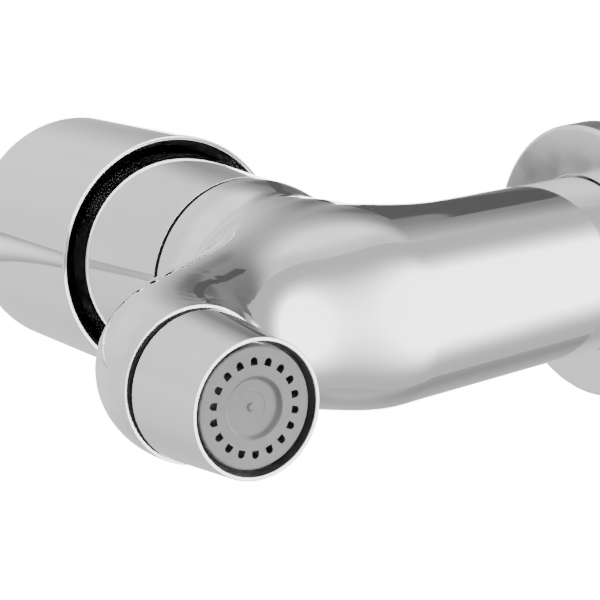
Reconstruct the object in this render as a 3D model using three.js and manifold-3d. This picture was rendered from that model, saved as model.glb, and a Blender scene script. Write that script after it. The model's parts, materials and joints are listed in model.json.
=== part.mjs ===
// Wall-mounted single-lever mixer tap for a commercial sink.
// Millimetres. Origin: centre of the wall flange's back face. +Y runs into the wall, +Z up.
// The tap stands out towards -Y. Its hub is upright, with the handle on top and the outlet facing down.

import * as THREE from 'three';
import { mergeVertices } from 'three/addons/utils/BufferGeometryUtils.js';
import Module from 'manifold-3d';

const wasm = await Module();
wasm.setup();

// ---------- driving dimensions ----------

const GAP = 0.3;                 // play between two pieces that touch
const FINE = 36;                 // sides of a large round piece
const COARSE = 18;               // sides of a small round piece

const HUB_Y = -72;               // upright hub axis, in front of the wall
const HUB_R = 25.1;
const HUB_TOP = 50.5;
const HUB_BOTTOM_CENTRE = 14;    // centre of the hub's round underside
const ARM_R_HUB = 21.9;          // level arm from the wall to the hub, with a casting draft
const ARM_R_WALL = 20.7;
const ARM_FRONT = 5;             // centre of the arm's round front end

const FLANGE_R = 33.2;
const FLANGE_T = 7.8;
const FLANGE_EDGE = 1.2;
const FLANGE_BORE_R = 21.15;
const FLANGE_RECESS = 3;         // depth of the hollow in the flange's back
const FLANGE_RIM = 4.2;          // width of the rim left round that hollow

const SPOUT_RISE = 23.2;         // height of the spout's centre line at the hub axis
const SPOUT_DROOP = 0.48;        // radians below level
const SPOUT_BEND_R = 25;
const SPOUT_R_HUB = 20.3;
const SPOUT_R_END = 16;
const SPOUT_REACH = 54.4;        // hub axis to outlet axis
const SPOUT_END_Z = -22.1;

const CAVITY_R = 20.2;           // cartridge seat in the hub
const CAVITY_FLOOR = 44;
const SPIGOT_R = 22.4;           // lower end of the collar, inside the hub
const SPIGOT_Z = 46;
const PORT_X = 8.5;              // hot and cold ports, either side of the middle
const PORT_Y = 8;
const PORT_R = 4.6;
const MIXED_Y = -10;             // mixed water port
const MIXED_R = 5.5;
const WATERWAY_R = 8;
const SHANK_R = 16.6;
const SHANK_BORE_R = 13.6;
const SHANK_SOCKET = 22;         // length screwed into the arm
const SHANK_TAIL = 40;           // length behind the wall face
const PANEL_T = 18;              // wall panel clamped by the nut
const WASHER_R = 28;
const WASHER_T = 2;
const NUT_ACROSS = 46;
const NUT_T = 9;

const FEED_R = 4.2;
const FEED_BORE_R = 3;
const FEED_BEND_R = 10;
const FEED_TOP = 40;
const FEED_SPREAD = 16;          // each union from the middle
const FEED_END = 78;
const UNION_ACROSS = 22;
const UNION_SOCKET_R = 8;

const COLLAR_R = 25.1;
const COLLAR_TOP = 92;
const COLLAR_LIP_R = 27.8;
const COLLAR_FLARE = [[25.1, 52.4], [25.5, 60.8], [26.1, 69.2], [26.9, 77.6], [27.8, 86]];
const COLLAR_MOUTH_R = 16.5;
const COLLAR_SHOULDER = 84.3;

const SEAL_T = 1.4;              // port seals under the cartridge
const SEAL_Z = 44.2;
const CARTRIDGE_R = 19.8;
const BASE_BOTTOM = 44.8;
const BASE_TOP = 50;
const HOUSING_TOP = 84;
const HOUSING_BORE_R = 17.2;
const HOUSING_MOUTH_R = 13.2;
const HOUSING_LID_T = 3;
const FIXED_DISC_R = 16.5;
const DISC_T = 4;
const MOVING_DISC_R = 12.6;
const DRIVER_TOP = 77.5;
const PIVOT_Z = 88;              // tilt axis of the handle
const PIN_R = 1.6;
const TURRET_NECK_R = 12.9;
const TURRET_TOP = 95;
const STEM_R = 4;
const STEM_TIP_R = 3;
const STEM_TIP_Z = 74;
const STEM_STEP_Z = 79;
const STEM_TOP = 118;

const CAP_R = 32;
const CAP_MOUTH_R = 30.8;
const CAP_BORE_R = 29;
const CAP_BOTTOM = 87.8;
const CAP_TOP = 146.4;
const CAP_ROOF_T = 5.4;
const CAP_EDGE = 1;
const INSERT_R = 11;
const INSERT_BOTTOM = 104;
const SCREW_R = 1.7;
const SCREW_HEAD_R = 4.2;
const SCREW_HEAD_T = 3;
const LEVER_BOSS_R = 9;
const LEVER_BASE_R = 15;
const LEVER_BASE_T = 9;
const LEVER_REACH = 112;
const LEVER_LIFT = 12;
const BUTTON_R = 6.5;

const SLEEVE_TOP = -22.4;
const SLEEVE_R_TOP = 15.6;
const SLEEVE_R_END = 14;
const SLEEVE_END = -45.3;
const SLEEVE_BORE_R = 12.5;
const SLEEVE_MOUTH_R = 13.15;
const NIPPLE_END = -27;
const NIPPLE_R = 12;
const FACE_R = 12.1;
const FACE_Z = -44.2;
const FACE_T = 3.2;
const FACE_DISH_R = 6.2;
const FACE_DISH_DEPTH = 1.4;
const HOLE_COUNT = 18;
const HOLE_RING_R = 9.15;
const HOLE_LENGTH = 1.6;
const HOLE_WIDTH = 1.5;
const HOLE_PHASE = 4.5;          // degrees from +X to the first hole

// ---------- materials ----------

const finish = (colour, roughness, metalness) => ({ color: colour, roughness, metalness });
const CHROME = finish(0xd9dcdd, 0.08, 1);
const BRASS = finish(0xb69a55, 0.35, 1);
const STEEL = finish(0xa9adaf, 0.3, 1);
const COPPER = finish(0xb87350, 0.3, 1);
const RUBBER = finish(0x1b1b1c, 0.85, 0);
const GREY_PLASTIC = finish(0xa4a6a6, 0.5, 0);
const WHITE_PLASTIC = finish(0xdedbd0, 0.45, 0);
const CERAMIC = finish(0xefece4, 0.2, 0);
const RED_PLASTIC = finish(0x8d1f24, 0.35, 0);

// ---------- solids ----------

// A closed solid from any closed three.js geometry: vertices merged, empty triangles dropped.
function solid(geometry) {
  const bare = geometry.clone();
  bare.deleteAttribute('normal');
  bare.deleteAttribute('uv');
  const merged = mergeVertices(bare, 1e-4);
  const triVerts = [];
  const index = merged.index.array;
  for (let i = 0; i < index.length; i += 3) {
    const [a, b, c] = [index[i], index[i + 1], index[i + 2]];
    if (a !== b && b !== c && c !== a) triVerts.push(a, b, c);
  }
  return new wasm.Manifold(new wasm.Mesh({
    numProp: 3,
    vertProperties: new Float32Array(merged.attributes.position.array),
    triVerts: new Uint32Array(triVerts),
  }));
}

function geometryOf(manifold) {
  const { vertProperties, triVerts } = manifold.getMesh();
  const geometry = new THREE.BufferGeometry();
  geometry.setAttribute('position', new THREE.BufferAttribute(vertProperties, 3));
  geometry.setIndex(new THREE.BufferAttribute(triVerts, 1));
  geometry.computeVertexNormals();
  return geometry;
}

// A turned solid about Z from [radius, z] points, the outer wall running upwards.
function turned(points, sides = FINE) {
  const profile = points.map(([radius, z]) => new THREE.Vector2(radius, z));
  return solid(new THREE.LatheGeometry(profile, sides).rotateX(Math.PI / 2));
}

function rod(radius, low, high, sides = FINE) {
  return turned([[0, low], [radius, low], [radius, high], [0, high]], sides);
}

function ring(inner, outer, low, high, sides = FINE) {
  return turned([[inner, low], [outer, low], [outer, high], [inner, high], [inner, low]], sides);
}

// The same shapes about an upright axis through (x, y).
const at = (shape, x, y, z = 0) => shape.translate([x, y, z]);

// Turns a shape built about Z so that it lies along +Y.
const alongY = (shape) => shape.rotate([-90, 0, 0]);
const alongX = (shape) => shape.rotate([0, 90, 0]);

function block(width, depth, low, high) {
  const box = new THREE.BoxGeometry(width, depth, high - low);
  return solid(box.translate(0, 0, (low + high) / 2));
}

function hexagon(acrossFlats, low, high) {
  return rod(acrossFlats / Math.sqrt(3), low, high, 6);
}

// A round bar bent along a curve in the YZ plane, its radius given along its length.
function bentBar(curve, radiusAt, steps, sides, flatten = 1) {
  const geometry = new THREE.CylinderGeometry(1, 1, 1, sides, steps);
  const position = geometry.attributes.position;
  for (let i = 0; i < position.count; i += 1) {
    const u = THREE.MathUtils.clamp(0.5 - position.getY(i), 0, 1);
    const centre = curve.getPointAt(u);
    const forward = curve.getTangentAt(u);
    const up = forward.clone().cross(new THREE.Vector3(1, 0, 0));
    const radius = radiusAt(u);
    const side = position.getX(i) * radius;
    const rise = position.getZ(i) * radius * flatten;
    centre.x += side;
    centre.addScaledVector(up, rise);
    position.setXYZ(i, centre.x, centre.y, centre.z);
  }
  return solid(geometry);
}

// A tube or bar of one radius along any curve.
function swept(curve, radius, steps, sides) {
  const section = new THREE.Shape().absarc(0, 0, radius, 0, 2 * Math.PI);
  const options = { extrudePath: curve, steps, curveSegments: sides / 2, bevelEnabled: false };
  return solid(new THREE.ExtrudeGeometry(section, options));
}

const tap = new THREE.Group();
const hub = new THREE.Group();
hub.position.y = HUB_Y;
tap.add(hub);
const outlet = new THREE.Group();
outlet.position.y = -SPOUT_REACH;
hub.add(outlet);

function place(group, name, shape, look) {
  const mesh = new THREE.Mesh(geometryOf(shape), new THREE.MeshStandardMaterial(look));
  mesh.name = name;
  group.add(mesh);
}

// ---------- body casting ----------

// The spout's centre line, from the hub axis forwards, down the slope and round to the outlet.
function spoutLine() {
  const sweep = Math.PI / 2 - SPOUT_DROOP;
  const bendY = -SPOUT_REACH + SPOUT_BEND_R;
  const slopeEndY = bendY - SPOUT_BEND_R * Math.cos(sweep);
  const slopeEndZ = SPOUT_RISE + slopeEndY * Math.tan(SPOUT_DROOP);
  const bendZ = slopeEndZ - SPOUT_BEND_R * Math.sin(sweep);
  const line = [new THREE.Vector3(0, 0, SPOUT_RISE), new THREE.Vector3(0, slopeEndY, slopeEndZ)];
  const bendSteps = 10;
  for (let i = 1; i <= bendSteps; i += 1) {
    const angle = sweep * (1 - i / bendSteps);
    const y = bendY - SPOUT_BEND_R * Math.cos(angle);
    line.push(new THREE.Vector3(0, y, bendZ + SPOUT_BEND_R * Math.sin(angle)));
  }
  line.push(new THREE.Vector3(0, -SPOUT_REACH, SPOUT_END_Z));
  const path = new THREE.CurvePath();
  for (let i = 1; i < line.length; i += 1) path.add(new THREE.LineCurve3(line[i - 1], line[i]));
  return path;
}

function bodyCasting() {
  const wallEnd = -HUB_Y - GAP;
  const spout = spoutLine();
  const taper = (u) => SPOUT_R_HUB + (SPOUT_R_END - SPOUT_R_HUB) * u;
  const underside = solid(new THREE.SphereGeometry(HUB_R, FINE, 14).rotateX(Math.PI / 2));
  const nipple = at(rod(NIPPLE_R, NIPPLE_END, SPOUT_END_Z + 2, COARSE), 0, -SPOUT_REACH);
  const frontEnd = solid(new THREE.SphereGeometry(ARM_R_HUB, FINE, 12));
  const arm = [[0, ARM_FRONT], [ARM_R_HUB, ARM_FRONT], [ARM_R_WALL, wallEnd], [0, wallEnd]];
  const outside = rod(HUB_R, HUB_BOTTOM_CENTRE, HUB_TOP)
    .add(underside.translate([0, 0, HUB_BOTTOM_CENTRE]))
    .add(frontEnd.translate([0, ARM_FRONT, 0]))
    .add(alongY(turned(arm)))
    .add(bentBar(spout, taper, 16, 32))
    .add(nipple);
  const seat = rod(CAVITY_R, CAVITY_FLOOR, HUB_TOP + 1);
  const collarSeat = rod(SPIGOT_R + GAP, SPIGOT_Z - GAP, HUB_TOP + 1);
  const armBore = alongY(rod(SHANK_BORE_R + 1.6, 2, wallEnd + 1, COARSE));
  const shankSocket = alongY(rod(SHANK_R + GAP, -HUB_Y - SHANK_SOCKET - GAP, wallEnd + 1));
  const mixedPort = at(rod(MIXED_R, 12, CAVITY_FLOOR + 1, COARSE), 0, MIXED_Y);
  const channelLine = new THREE.CurvePath();
  const [first, ...rest] = spout.curves;
  const channelStart = new THREE.Vector3().lerpVectors(first.v1, first.v2, 0.25);
  channelLine.add(new THREE.LineCurve3(channelStart, first.v2));
  for (const piece of rest) channelLine.add(piece);
  const channelExit = new THREE.Vector3(0, -SPOUT_REACH, NIPPLE_END - 1);
  channelLine.add(new THREE.LineCurve3(rest[rest.length - 1].v2, channelExit));
  const channel = bentBar(channelLine, () => WATERWAY_R, 14, 14);
  let body = outside.subtract(seat).subtract(collarSeat).subtract(armBore).subtract(shankSocket)
    .subtract(mixedPort).subtract(channel);
  for (const side of [-1, 1]) {
    body = body.subtract(at(rod(PORT_R, 0, CAVITY_FLOOR + 1, COARSE), side * PORT_X, PORT_Y));
  }
  return body;
}

place(hub, 'body_casting', bodyCasting(), CHROME);

// ---------- wall fixing ----------

function wallFlange() {
  const profile = [
    [FLANGE_BORE_R, 0], [FLANGE_R, 0], [FLANGE_R, FLANGE_T - FLANGE_EDGE],
    [FLANGE_R - FLANGE_EDGE, FLANGE_T], [FLANGE_BORE_R, FLANGE_T], [FLANGE_BORE_R, 0],
  ];
  const recess = ring(FLANGE_BORE_R + 1.5, FLANGE_R - FLANGE_RIM, -1, FLANGE_RECESS);
  return turned(profile).subtract(recess).rotate([90, 0, 0]);
}

function hexNut(acrossFlats, bore, low, high) {
  return alongY(hexagon(acrossFlats, low, high).subtract(rod(bore, low - 1, high + 1)));
}

const rubberZ = PANEL_T;
const steelZ = rubberZ + WASHER_T + GAP;
const nutZ = steelZ + WASHER_T + GAP;

const sealInner = FLANGE_BORE_R + 1.5 + GAP;
const sealOuter = FLANGE_R - FLANGE_RIM - GAP;
const flangeSeal = alongY(ring(sealInner, sealOuter, GAP - FLANGE_RECESS, 0));

place(tap, 'wall_flange', wallFlange(), CHROME);
place(tap, 'flange_seal', flangeSeal, RUBBER);
place(tap, 'threaded_shank', alongY(ring(SHANK_BORE_R, SHANK_R, -SHANK_SOCKET, SHANK_TAIL)), BRASS);
place(tap, 'rubber_washer', alongY(ring(SHANK_R + GAP, WASHER_R, rubberZ, rubberZ + WASHER_T)), RUBBER);
place(tap, 'backing_washer', alongY(ring(SHANK_R + GAP, WASHER_R, steelZ, steelZ + WASHER_T)), STEEL);
place(tap, 'mounting_nut', hexNut(NUT_ACROSS, SHANK_R + GAP, nutZ, nutZ + NUT_T), BRASS);

// ---------- hot and cold feeds ----------

function feedLine(side) {
  const x = side * PORT_X;
  const points = [new THREE.Vector3(x, PORT_Y, FEED_TOP), new THREE.Vector3(x, PORT_Y, 25)];
  const bendSteps = 6;
  for (let i = 0; i <= bendSteps; i += 1) {
    const angle = (Math.PI / 2) * (i / bendSteps);
    const y = PORT_Y + FEED_BEND_R * (1 - Math.cos(angle));
    points.push(new THREE.Vector3(x, y, FEED_BEND_R * (1 - Math.sin(angle))));
  }
  const wall = -HUB_Y;
  points.push(new THREE.Vector3(x, wall - 20, 0), new THREE.Vector3(x, wall + SHANK_TAIL, 0));
  const outer = side * FEED_SPREAD;
  points.push(new THREE.Vector3(outer, wall + FEED_END - 16, 0));
  points.push(new THREE.Vector3(outer, wall + FEED_END, 0));
  return new THREE.CatmullRomCurve3(points, false, 'centripetal');
}

for (const [side, name] of [[-1, 'hot'], [1, 'cold']]) {
  const line = feedLine(side);
  const tube = swept(line, FEED_R, 26, 8).subtract(swept(line, FEED_BORE_R, 26, 8));
  place(hub, `${name}_feed_tube`, tube, COPPER);
  const nut = hexNut(UNION_ACROSS, FEED_R + GAP + 0.2, FEED_END - 14, FEED_END + 4);
  const socket = alongY(rod(UNION_SOCKET_R, FEED_END + GAP, FEED_END + 6, COARSE));
  place(tap, `${name}_union_nut`, nut.subtract(socket).translate([side * FEED_SPREAD, 0, 0]), BRASS);
}

// ---------- collar and cartridge ----------

function domeCollar() {
  return turned([
    [CAVITY_R, SPIGOT_Z], [SPIGOT_R, SPIGOT_Z], [SPIGOT_R, HUB_TOP + GAP],
    [COLLAR_R, HUB_TOP + GAP], ...COLLAR_FLARE, [COLLAR_LIP_R, COLLAR_TOP],
    [COLLAR_MOUTH_R, COLLAR_TOP], [COLLAR_MOUTH_R, COLLAR_SHOULDER],
    [CAVITY_R, COLLAR_SHOULDER], [CAVITY_R, SPIGOT_Z],
  ]);
}

const PORTS = [
  { name: 'hot', x: -PORT_X, y: PORT_Y, r: PORT_R },
  { name: 'cold', x: PORT_X, y: PORT_Y, r: PORT_R },
  { name: 'mixed', x: 0, y: MIXED_Y, r: MIXED_R },
];

function drilled(shape, shrink) {
  let result = shape;
  for (const port of PORTS) {
    result = result.subtract(at(rod(port.r - shrink, 0, HOUSING_TOP, COARSE), port.x, port.y));
  }
  return result;
}

function cartridgeBase() {
  let base = drilled(rod(CARTRIDGE_R, BASE_BOTTOM, BASE_TOP), 0.6);
  for (const port of PORTS) {
    const groove = rod(port.r + 1.6 + GAP, BASE_BOTTOM - 1, SEAL_Z + SEAL_T + GAP, COARSE);
    base = base.subtract(at(groove, port.x, port.y));
  }
  return base;
}

function cartridgeHousing() {
  const lid = HOUSING_TOP - HOUSING_LID_T;
  return turned([
    [HOUSING_BORE_R, BASE_TOP + GAP], [CARTRIDGE_R, BASE_TOP + GAP], [CARTRIDGE_R, HOUSING_TOP],
    [HOUSING_MOUTH_R, HOUSING_TOP], [HOUSING_MOUTH_R, lid], [HOUSING_BORE_R, lid],
    [HOUSING_BORE_R, BASE_TOP + GAP],
  ]);
}

const fixedZ = BASE_TOP + GAP;
const movingZ = fixedZ + DISC_T + GAP;
const driverZ = movingZ + DISC_T + GAP;

function movingDisc() {
  const mixingPocket = block(18, 13, movingZ - 1, movingZ + 2);
  return rod(MOVING_DISC_R, movingZ, movingZ + DISC_T, COARSE).subtract(mixingPocket);
}

function discDriver() {
  const socket = block(6.6, 8.8, STEM_TIP_Z - 1, DRIVER_TOP + 1);
  return rod(MOVING_DISC_R, driverZ, DRIVER_TOP, COARSE).subtract(socket);
}

function turret() {
  const flangeTop = HOUSING_TOP - HOUSING_LID_T - GAP;
  const flangeBottom = DRIVER_TOP + 0.7;
  const slot = block(2 * STEM_R + 0.6, 15, flangeBottom - 1, TURRET_TOP + 1);
  const pinHole = alongX(rod(PIN_R + GAP, -20, 20, 16)).translate([0, 0, PIVOT_Z]);
  return turned([
    [0, flangeBottom], [HOUSING_BORE_R - GAP, flangeBottom], [HOUSING_BORE_R - GAP, flangeTop],
    [TURRET_NECK_R, flangeTop], [TURRET_NECK_R, TURRET_TOP], [0, TURRET_TOP],
  ]).subtract(slot).subtract(pinHole);
}

function stem() {
  const pinHole = alongX(rod(PIN_R + GAP, -20, 20, 16)).translate([0, 0, PIVOT_Z]);
  const thread = rod(2, STEM_TOP - 12, STEM_TOP + 1, 16);
  return turned([
    [0, STEM_TIP_Z], [STEM_TIP_R, STEM_TIP_Z], [STEM_TIP_R, STEM_STEP_Z],
    [STEM_R, STEM_STEP_Z], [STEM_R, STEM_TOP], [0, STEM_TOP],
  ], COARSE).subtract(pinHole).subtract(thread);
}

const pin = alongX(rod(PIN_R, -TURRET_NECK_R + 0.4, TURRET_NECK_R - 0.4, 16));
const limiter = ring(TURRET_NECK_R + 0.5, COLLAR_MOUTH_R - GAP, HOUSING_TOP + GAP, 87);

place(hub, 'dome_collar', domeCollar(), CHROME);
place(hub, 'cartridge_base', cartridgeBase(), WHITE_PLASTIC);
for (const port of PORTS) {
  const seal = ring(port.r - 0.4, port.r + 1.6, SEAL_Z, SEAL_Z + SEAL_T, COARSE);
  place(hub, `${port.name}_port_seal`, at(seal, port.x, port.y), RUBBER);
}
place(hub, 'cartridge_housing', cartridgeHousing(), WHITE_PLASTIC);
place(hub, 'fixed_ceramic_disc', drilled(rod(FIXED_DISC_R, fixedZ, fixedZ + DISC_T), 1), CERAMIC);
place(hub, 'moving_ceramic_disc', movingDisc(), CERAMIC);
place(hub, 'disc_driver', discDriver(), WHITE_PLASTIC);
place(hub, 'turret', turret(), WHITE_PLASTIC);
place(hub, 'pivot_pin', pin.translate([0, 0, PIVOT_Z]), STEEL);
place(hub, 'temperature_limit_ring', limiter, RED_PLASTIC);
place(hub, 'stem', stem(), BRASS);

// ---------- handle ----------

const roofZ = CAP_TOP - CAP_ROOF_T;

function handleCap() {
  const shell = turned([
    [0, CAP_BOTTOM], [CAP_R, CAP_BOTTOM], [CAP_R, CAP_TOP - CAP_EDGE],
    [CAP_R - CAP_EDGE, CAP_TOP], [0, CAP_TOP],
  ]);
  const mouth = turned([
    [0, CAP_BOTTOM - 1], [CAP_MOUTH_R, CAP_BOTTOM - 1], [CAP_MOUTH_R, CAP_BOTTOM + 8],
    [CAP_BORE_R, CAP_BOTTOM + 10], [CAP_BORE_R, roofZ], [0, roofZ],
  ]);
  return shell.subtract(mouth).subtract(rod(LEVER_BOSS_R + GAP, roofZ - 1, CAP_TOP + 1, COARSE));
}

function handleInsert() {
  const stemHole = rod(STEM_R + GAP, INSERT_BOTTOM - 1, STEM_TOP + GAP, COARSE);
  const screwHole = rod(2.3, STEM_TOP, roofZ, 16);
  const headSeat = rod(SCREW_HEAD_R + GAP, roofZ - SCREW_HEAD_T - 1, roofZ + 1, COARSE);
  return rod(INSERT_R, INSERT_BOTTOM, roofZ - GAP, COARSE)
    .subtract(stemHole).subtract(screwHole).subtract(headSeat);
}

function handleScrew() {
  const headBottom = roofZ - SCREW_HEAD_T - 0.7;
  const headTop = headBottom + SCREW_HEAD_T;
  const key = hexagon(3, headTop - 1.8, headTop + 1);
  return turned([
    [0, STEM_TOP - 10], [SCREW_R, STEM_TOP - 10], [SCREW_R, headBottom], [SCREW_HEAD_R, headBottom],
    [SCREW_HEAD_R, headTop], [0, headTop],
  ], 20).subtract(key);
}

function lever() {
  const low = CAP_TOP + GAP;
  const middle = low + LEVER_BASE_T / 2;
  const line = new THREE.QuadraticBezierCurve3(
    new THREE.Vector3(0, -4, middle),
    new THREE.Vector3(0, -LEVER_REACH / 2, middle),
    new THREE.Vector3(0, -LEVER_REACH, middle + LEVER_LIFT),
  );
  const tip = new THREE.SphereGeometry(1, 20, 8).scale(6, 6, 3);
  const slope = Math.atan2(LEVER_LIFT, LEVER_REACH / 2);
  const end = solid(tip.rotateX(-slope).translate(0, -LEVER_REACH, middle + LEVER_LIFT));
  const base = turned([
    [0, roofZ + GAP], [LEVER_BOSS_R, roofZ + GAP], [LEVER_BOSS_R, low], [LEVER_BASE_R, low],
    [LEVER_BASE_R, low + LEVER_BASE_T - 1], [LEVER_BASE_R - 1, low + LEVER_BASE_T],
    [0, low + LEVER_BASE_T],
  ]);
  const seat = rod(BUTTON_R + GAP, low + LEVER_BASE_T - 2.3, low + LEVER_BASE_T + 5, COARSE);
  const bar = bentBar(line, (u) => 8.6 - 2.6 * u, 10, 20, 0.5);
  return base.add(bar).add(end).subtract(seat);
}

const buttonZ = CAP_TOP + GAP + LEVER_BASE_T - 2;
place(hub, 'handle_cap', handleCap(), CHROME);
place(hub, 'handle_insert', handleInsert(), BRASS);
place(hub, 'handle_screw', handleScrew(), STEEL);
place(hub, 'lever', lever(), CHROME);
place(hub, 'index_button', rod(BUTTON_R, buttonZ, buttonZ + 2.2, COARSE), RED_PLASTIC);

// ---------- outlet ----------

function outletSleeve() {
  return turned([
    [SLEEVE_BORE_R, SLEEVE_TOP], [SLEEVE_BORE_R, SLEEVE_END + 3], [SLEEVE_MOUTH_R, SLEEVE_END + 3],
    [SLEEVE_MOUTH_R, SLEEVE_END], [SLEEVE_R_END - 0.3, SLEEVE_END],
    [SLEEVE_R_END, SLEEVE_END + 0.4], [SLEEVE_R_TOP, SLEEVE_TOP], [SLEEVE_BORE_R, SLEEVE_TOP],
  ]);
}

// A hole with its flat side towards the middle of the face and its round side outwards.
function streamHole() {
  const half = HOLE_WIDTH / 2;
  const outline = new THREE.Shape();
  outline.moveTo(-HOLE_LENGTH / 2, -half);
  outline.lineTo(HOLE_LENGTH / 2 - half, -half);
  outline.absarc(HOLE_LENGTH / 2 - half, 0, half, -Math.PI / 2, Math.PI / 2);
  outline.lineTo(-HOLE_LENGTH / 2, half);
  const options = { depth: FACE_T + 2, curveSegments: 3, bevelEnabled: false };
  return solid(new THREE.ExtrudeGeometry(outline, options)).translate([0, 0, FACE_Z - 1]);
}

function aeratorFace() {
  const dish = rod(FACE_DISH_R, FACE_Z - 1, FACE_Z + FACE_DISH_DEPTH, COARSE);
  const nub = rod(0.9, FACE_Z + FACE_DISH_DEPTH - 0.5, FACE_Z + FACE_DISH_DEPTH + 0.5, 12);
  let face = rod(FACE_R, FACE_Z, FACE_Z + FACE_T).subtract(dish);
  for (let i = 0; i < HOLE_COUNT; i += 1) {
    const turn = HOLE_PHASE + (360 * i) / HOLE_COUNT;
    face = face.subtract(streamHole().translate([HOLE_RING_R, 0, 0]).rotate([0, 0, turn]));
  }
  return face.add(nub);
}

const cageLow = FACE_Z + FACE_T + GAP;
const gasketTop = NIPPLE_END - GAP;
const gasketLow = gasketTop - 1.6;
const strainerLow = gasketLow - GAP - 1.5;
const cageTop = strainerLow - GAP;

function strainer() {
  let disc = rod(FACE_R - 0.3, strainerLow, gasketLow - GAP, COARSE);
  for (const [count, radius] of [[1, 0], [6, 3.4], [12, 6.6]]) {
    for (let i = 0; i < count; i += 1) {
      const angle = (2 * Math.PI * i) / count;
      const hole = rod(0.9, strainerLow - 1, gasketLow + 1, 6);
      disc = disc.subtract(at(hole, radius * Math.cos(angle), radius * Math.sin(angle)));
    }
  }
  return disc;
}

place(outlet, 'outlet_sleeve', outletSleeve(), CHROME);
place(outlet, 'outlet_gasket', ring(8, FACE_R - 0.4, gasketLow, gasketTop, COARSE), RUBBER);
place(outlet, 'strainer', strainer(), WHITE_PLASTIC);
place(outlet, 'aerator_cage', ring(10.6, FACE_R, cageLow, cageTop), WHITE_PLASTIC);
place(outlet, 'flow_regulator', ring(4, 10.2, cageLow + 4, cageLow + 6.5, COARSE), RUBBER);
place(outlet, 'aerator_face', aeratorFace(), GREY_PLASTIC);

export default tap;
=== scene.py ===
"""Wall-mounted single-lever mixer tap: its looks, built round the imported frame.

Everything is in metres in the row frame: +Y runs into the wall, +Z is up, and the origin is the
centre of the wall flange's back face. Sizes below are in millimetres and are scaled by MM.
"""

import json
import math

import bmesh
import bpy
import numpy as np
from mathutils import Matrix, Vector

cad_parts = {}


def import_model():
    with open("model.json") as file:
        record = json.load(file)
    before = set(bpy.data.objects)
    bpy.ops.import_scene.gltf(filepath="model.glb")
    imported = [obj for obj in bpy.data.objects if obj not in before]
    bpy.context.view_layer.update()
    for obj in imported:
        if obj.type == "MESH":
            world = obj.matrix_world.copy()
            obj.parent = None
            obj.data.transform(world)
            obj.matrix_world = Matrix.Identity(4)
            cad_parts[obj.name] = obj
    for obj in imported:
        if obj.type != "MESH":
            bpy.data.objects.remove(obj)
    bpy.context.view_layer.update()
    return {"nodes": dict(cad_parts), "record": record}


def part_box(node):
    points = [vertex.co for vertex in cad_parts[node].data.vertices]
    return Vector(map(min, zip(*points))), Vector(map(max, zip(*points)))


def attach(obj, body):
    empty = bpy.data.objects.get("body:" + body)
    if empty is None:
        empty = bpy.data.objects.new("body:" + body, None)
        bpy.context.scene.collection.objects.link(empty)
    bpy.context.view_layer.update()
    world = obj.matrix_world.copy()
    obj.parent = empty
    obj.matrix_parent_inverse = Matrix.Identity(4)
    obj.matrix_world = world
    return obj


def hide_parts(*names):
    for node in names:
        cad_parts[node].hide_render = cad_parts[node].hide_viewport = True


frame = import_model()

MM = 0.001
ROUND = 192          # sides of a large turned piece
SMALL_ROUND = 96     # sides of a small one
FILLET_STEPS = 6     # segments in a quarter-circle fillet
SHARP_ANGLE = math.radians(32)
X, Y, Z = 0, 1, 2


# ---------- sizes taken from the frame ----------


def span(node, axis):
    """A node's lowest and highest coordinate along one axis, in millimetres."""
    low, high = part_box(node)
    return low[axis] / MM, high[axis] / MM


def radius_of(node):
    """Half of a node's width."""
    low, high = span(node, X)
    return (high - low) / 2


HUB_Y = sum(span("dome_collar", Y)) / 2
HUB_R = radius_of("body_casting")
HUB_TOP = span("body_casting", Z)[1]
WALL_END = span("body_casting", Y)[1]
OUTLET_Y = sum(span("aerator_face", Y)) / 2
OUTLET_REACH = HUB_Y - OUTLET_Y
SLEEVE_END = span("outlet_sleeve", Z)[0]
SLEEVE_R_TOP = radius_of("outlet_sleeve")
SLEEVE_R_END = 14.0
FLANGE_FRONT, FLANGE_BACK = span("wall_flange", Y)
FLANGE_R = radius_of("wall_flange")
COLLAR_TOP = span("dome_collar", Z)[1]
COLLAR_LIP_R = radius_of("dome_collar")
CAP_BOTTOM, CAP_TOP = span("handle_cap", Z)
CAP_R = radius_of("handle_cap")
FACE_LOW, FACE_TOP = span("aerator_face", Z)
FACE_R = radius_of("aerator_face")


# ---------- mesh helpers ----------


def finished_object(name, mesh, body, material, replaced=()):
    """Links a mesh, gives it its material, parents it to its body's empty, and hides the CAD nodes it
    replaces.
    """
    piece = bpy.data.objects.new(name, mesh)
    bpy.context.scene.collection.objects.link(piece)
    mesh.materials.clear()
    mesh.materials.append(material)
    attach(piece, body)
    if replaced:
        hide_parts(*replaced)
    return piece


def shade(piece, angle=SHARP_ANGLE):
    """Smooth shading with crisp corners, long faces keeping their own direction."""
    mesh = piece.data
    mesh.polygons.foreach_set("use_smooth", [True] * len(mesh.polygons))
    mesh.set_sharp_from_angle(angle=angle)
    weighted = piece.modifiers.new("weighted", "WEIGHTED_NORMAL")
    weighted.keep_sharp = True


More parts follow.
